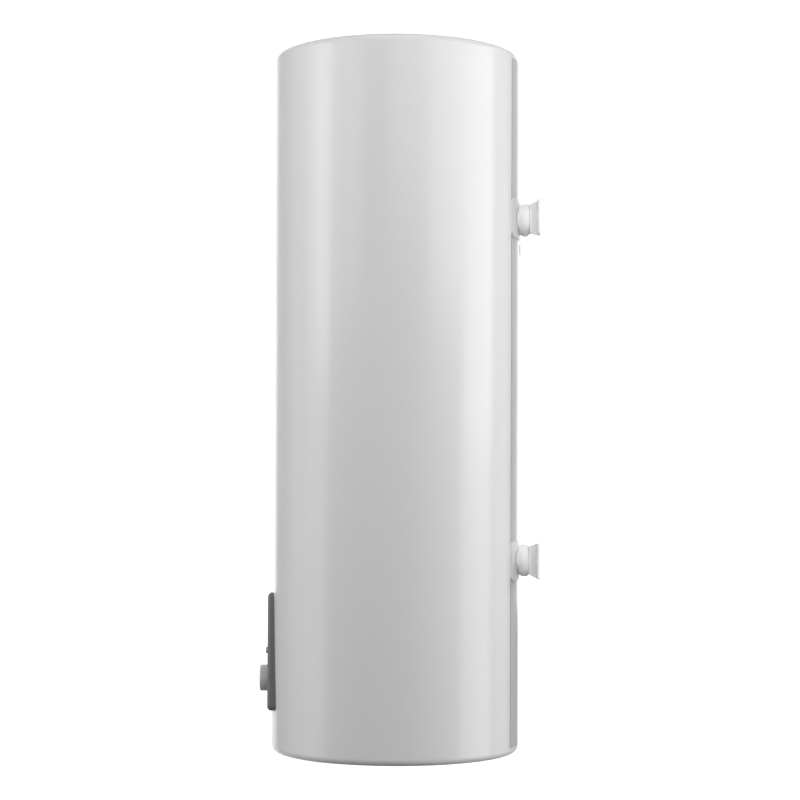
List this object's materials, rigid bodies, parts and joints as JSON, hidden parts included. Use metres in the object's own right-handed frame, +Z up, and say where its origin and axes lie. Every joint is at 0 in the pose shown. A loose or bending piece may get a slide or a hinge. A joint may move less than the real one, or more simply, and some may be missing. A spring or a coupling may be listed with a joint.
{
  "type": "tank water heater",
  "caption": "Flat wall-hung electric tank water heater with a rounded casing, a front control panel with knob and button, wall hangers and pipe ends underneath.",
  "frame": {"origin": "on the wall plane, at the centre of the wall anchor holes", "axes": "+Z up, +Y into the wall, the control panel faces -Y, +X to the right as seen from the front"},
  "size_m": [0.557, 0.3361, 0.865],
  "materials": {
    "casing_enamel": "gloss white powder coat on steel sheet",
    "bracket_enamel": "white powder coat on stamped steel",
    "drum_plastic": "white moulded polyamide",
    "door_plastic": "white moulded plastic",
    "zinc_steel": "zinc-plated steel",
    "bare_steel": "rolled steel, passivated",
    "tank_enamel": "dark blue glass enamel on steel",
    "nipple_steel": "nickel-plated steel pipe",
    "foam_yellow": "rigid polyurethane foam",
    "seal_rubber": "black EPDM",
    "anode_metal": "cast magnesium, dull",
    "well_brass": "drawn brass tube",
    "pipe_plastic": "natural polypropylene",
    "hot_red": "red moulded plastic",
    "cold_blue": "blue moulded plastic",
    "gland_plastic": "light grey polyamide",
    "board_green": "green glass-epoxy board",
    "electric_black": "black moulded thermoplastic",
    "terminal_white": "white polyamide",
    "panel_grey": "fine-textured dark grey ABS",
    "lens_smoke": "smoked acrylic",
    "knob_grey": "satin light grey ABS",
    "pointer_dark": "dark inlay",
    "button_silver": "satin silver-grey ABS"
  },
  "bodies": {
    "heater": {"front_shell": "casing_enamel", "back_shell": "casing_enamel", "top_cap": "casing_enamel", "bottom_cap": "casing_enamel", "mount_pads": "bracket_enamel", "hanger_lower_left": "bracket_enamel", "hanger_lower_right": "bracket_enamel", "hanger_upper_left": "bracket_enamel", "hanger_upper_right": "bracket_enamel", "drum_lower_left": "drum_plastic", "drum_lower_right": "drum_plastic", "drum_upper_left": "drum_plastic", "drum_upper_right": "drum_plastic", "service_door_left": "door_plastic", "service_door_right": "door_plastic", "hanger_bolts": "zinc_steel", "hanger_washers": "zinc_steel", "flange_nuts": "zinc_steel", "door_screws": "zinc_steel", "hanger_rails": "bare_steel", "flange_left": "bare_steel", "flange_right": "bare_steel", "transfer_pipes": "bare_steel", "heating_element_left": "bare_steel", "heating_element_right": "bare_steel", "button_spring": "bare_steel", "tank_left": "tank_enamel", "tank_right": "tank_enamel", "hot_nipple": "nipple_steel", "cold_nipple": "nipple_steel", "foam_insulation": "foam_yellow", "flange_gaskets": "seal_rubber", "anode_left": "anode_metal", "anode_right": "anode_metal", "thermowells": "well_brass", "thermostat_probes": "well_brass", "hot_dip_tube": "pipe_plastic", "inlet_diffuser": "pipe_plastic", "hot_ring": "hot_red", "cold_ring": "cold_blue", "gland_body": "gland_plastic", "gland_nut": "gland_plastic", "gland_locknut": "gland_plastic", "power_board": "board_green", "panel_card": "board_green", "power_relay": "electric_black", "safety_cutout": "electric_black", "rotary_encoder": "electric_black", "push_switch": "electric_black", "display_module": "electric_black", "panel_lid": "electric_black", "terminal_block": "terminal_white", "board_posts": "terminal_white", "panel_fascia": "panel_grey", "display_lens": "lens_smoke"},
    "knob": {"temperature_knob": "knob_grey", "knob_pointer": "pointer_dark", "knob_shaft": "bare_steel"},
    "button": {"button_cap": "button_silver"}
  },
  "joints": [
    {"name": "knob_turn", "type": "hinge", "parent": "heater", "child": "knob", "pos_m": [0.118, -0.3242, -0.351], "axis": [0, 1, 0], "range_deg": [-135, 135]},
    {"name": "button_press", "type": "slide", "parent": "heater", "child": "button", "axis": [0, 1, 0], "range_m": [0, 0.0012], "stiffness_N_per_m": 600, "springref_m": -0.0004, "deforming": ["button_spring"]}
  ]
}
